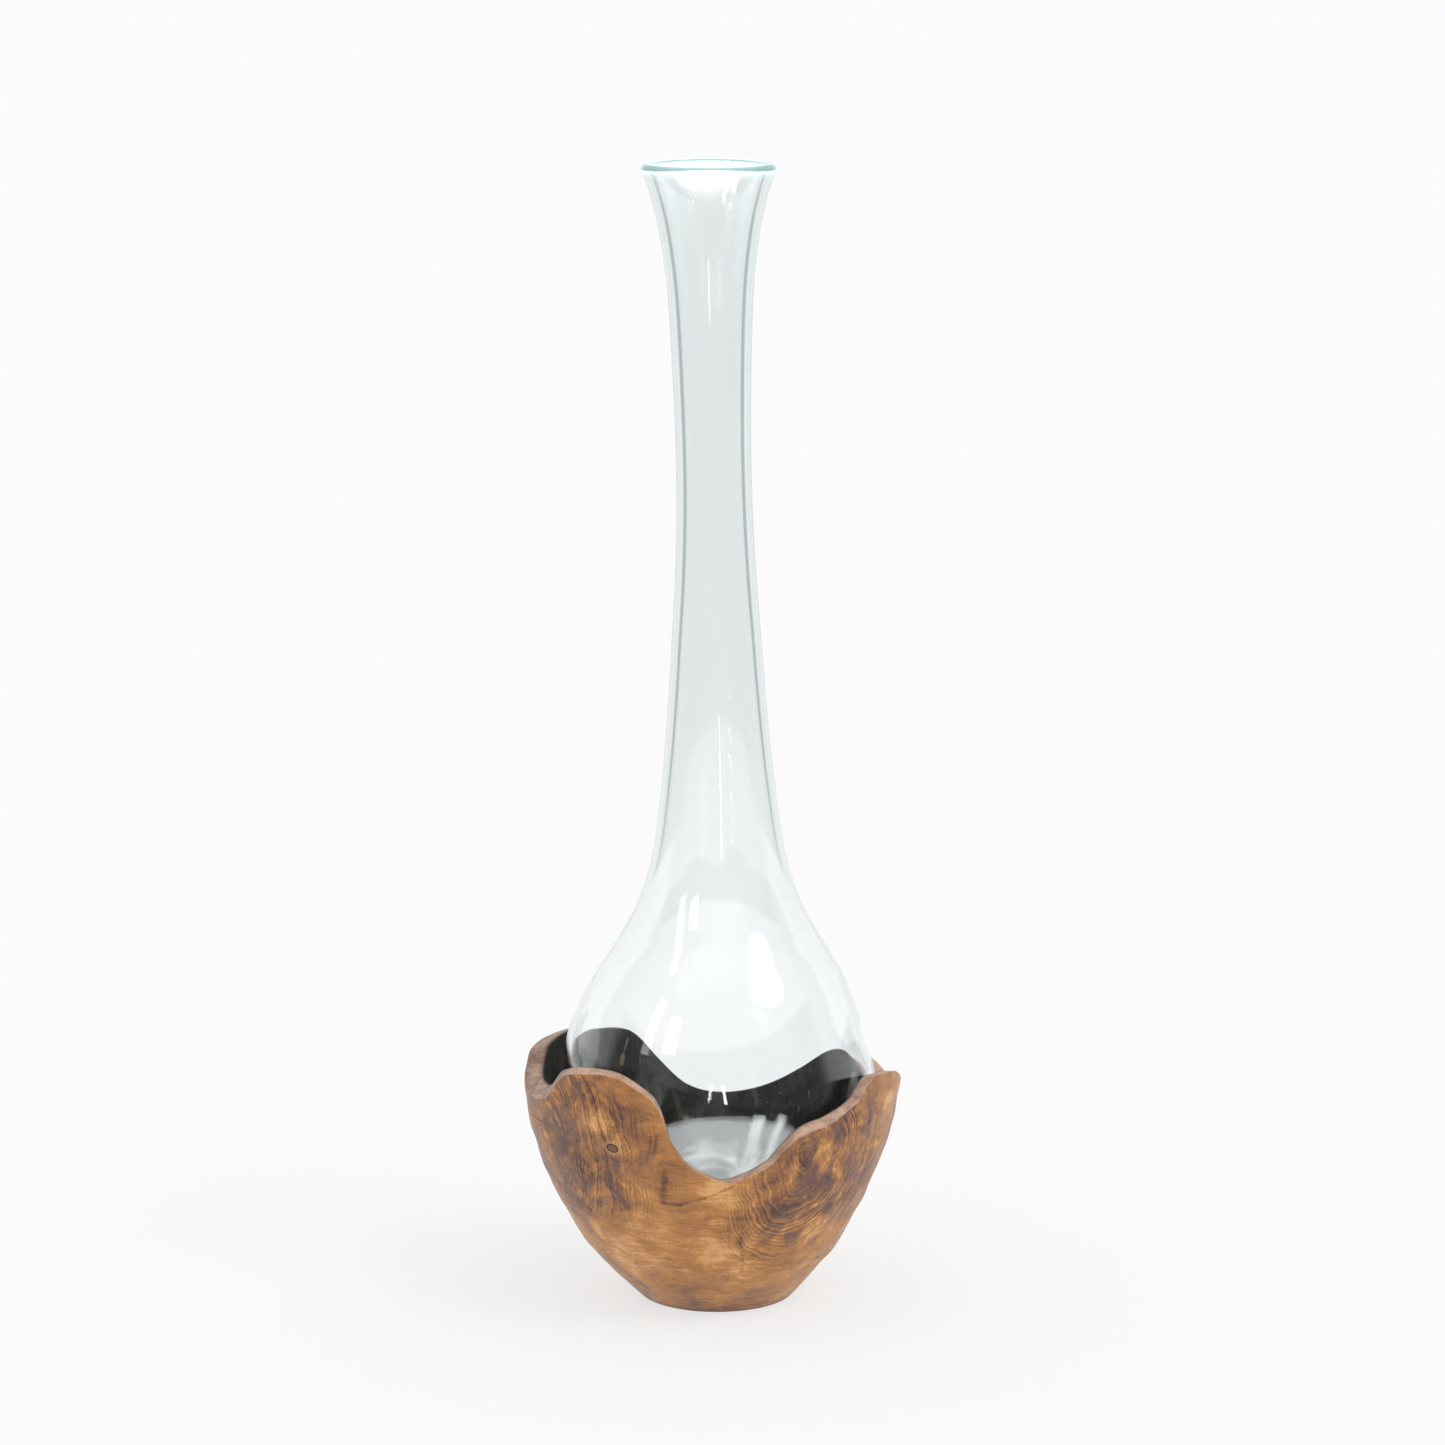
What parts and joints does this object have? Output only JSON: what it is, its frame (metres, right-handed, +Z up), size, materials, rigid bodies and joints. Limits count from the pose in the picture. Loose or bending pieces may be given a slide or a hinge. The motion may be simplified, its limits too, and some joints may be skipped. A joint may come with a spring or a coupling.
{
  "type": "bud vase",
  "caption": "Tall blown-glass bud vase with a flared mouth, long neck and pear-shaped bulb, standing in a wavy-rimmed bowl carved from teak root.",
  "frame": {"origin": "centre of the bowl's flat foot, on the surface it stands on", "axes": "+Z up along the neck, -Y towards the low front notch of the bowl's rim, +X to the right as seen from the front"},
  "size_m": [0.1992, 0.1892, 0.6001],
  "materials": {
    "oiled_teak": "satin oiled outside, charred black inside",
    "clear_glass": "clear, faint aqua tint, small seeds"
  },
  "bodies": {
    "bowl": {"teak_bowl": "oiled_teak"},
    "vase": {"glass_vase": "clear_glass"}
  },
  "joints": [
    {"name": "glass_lift", "type": "slide", "parent": "bowl", "child": "vase", "axis": [0, 0, 1], "range_m": [0, 0.14]}
  ]
}
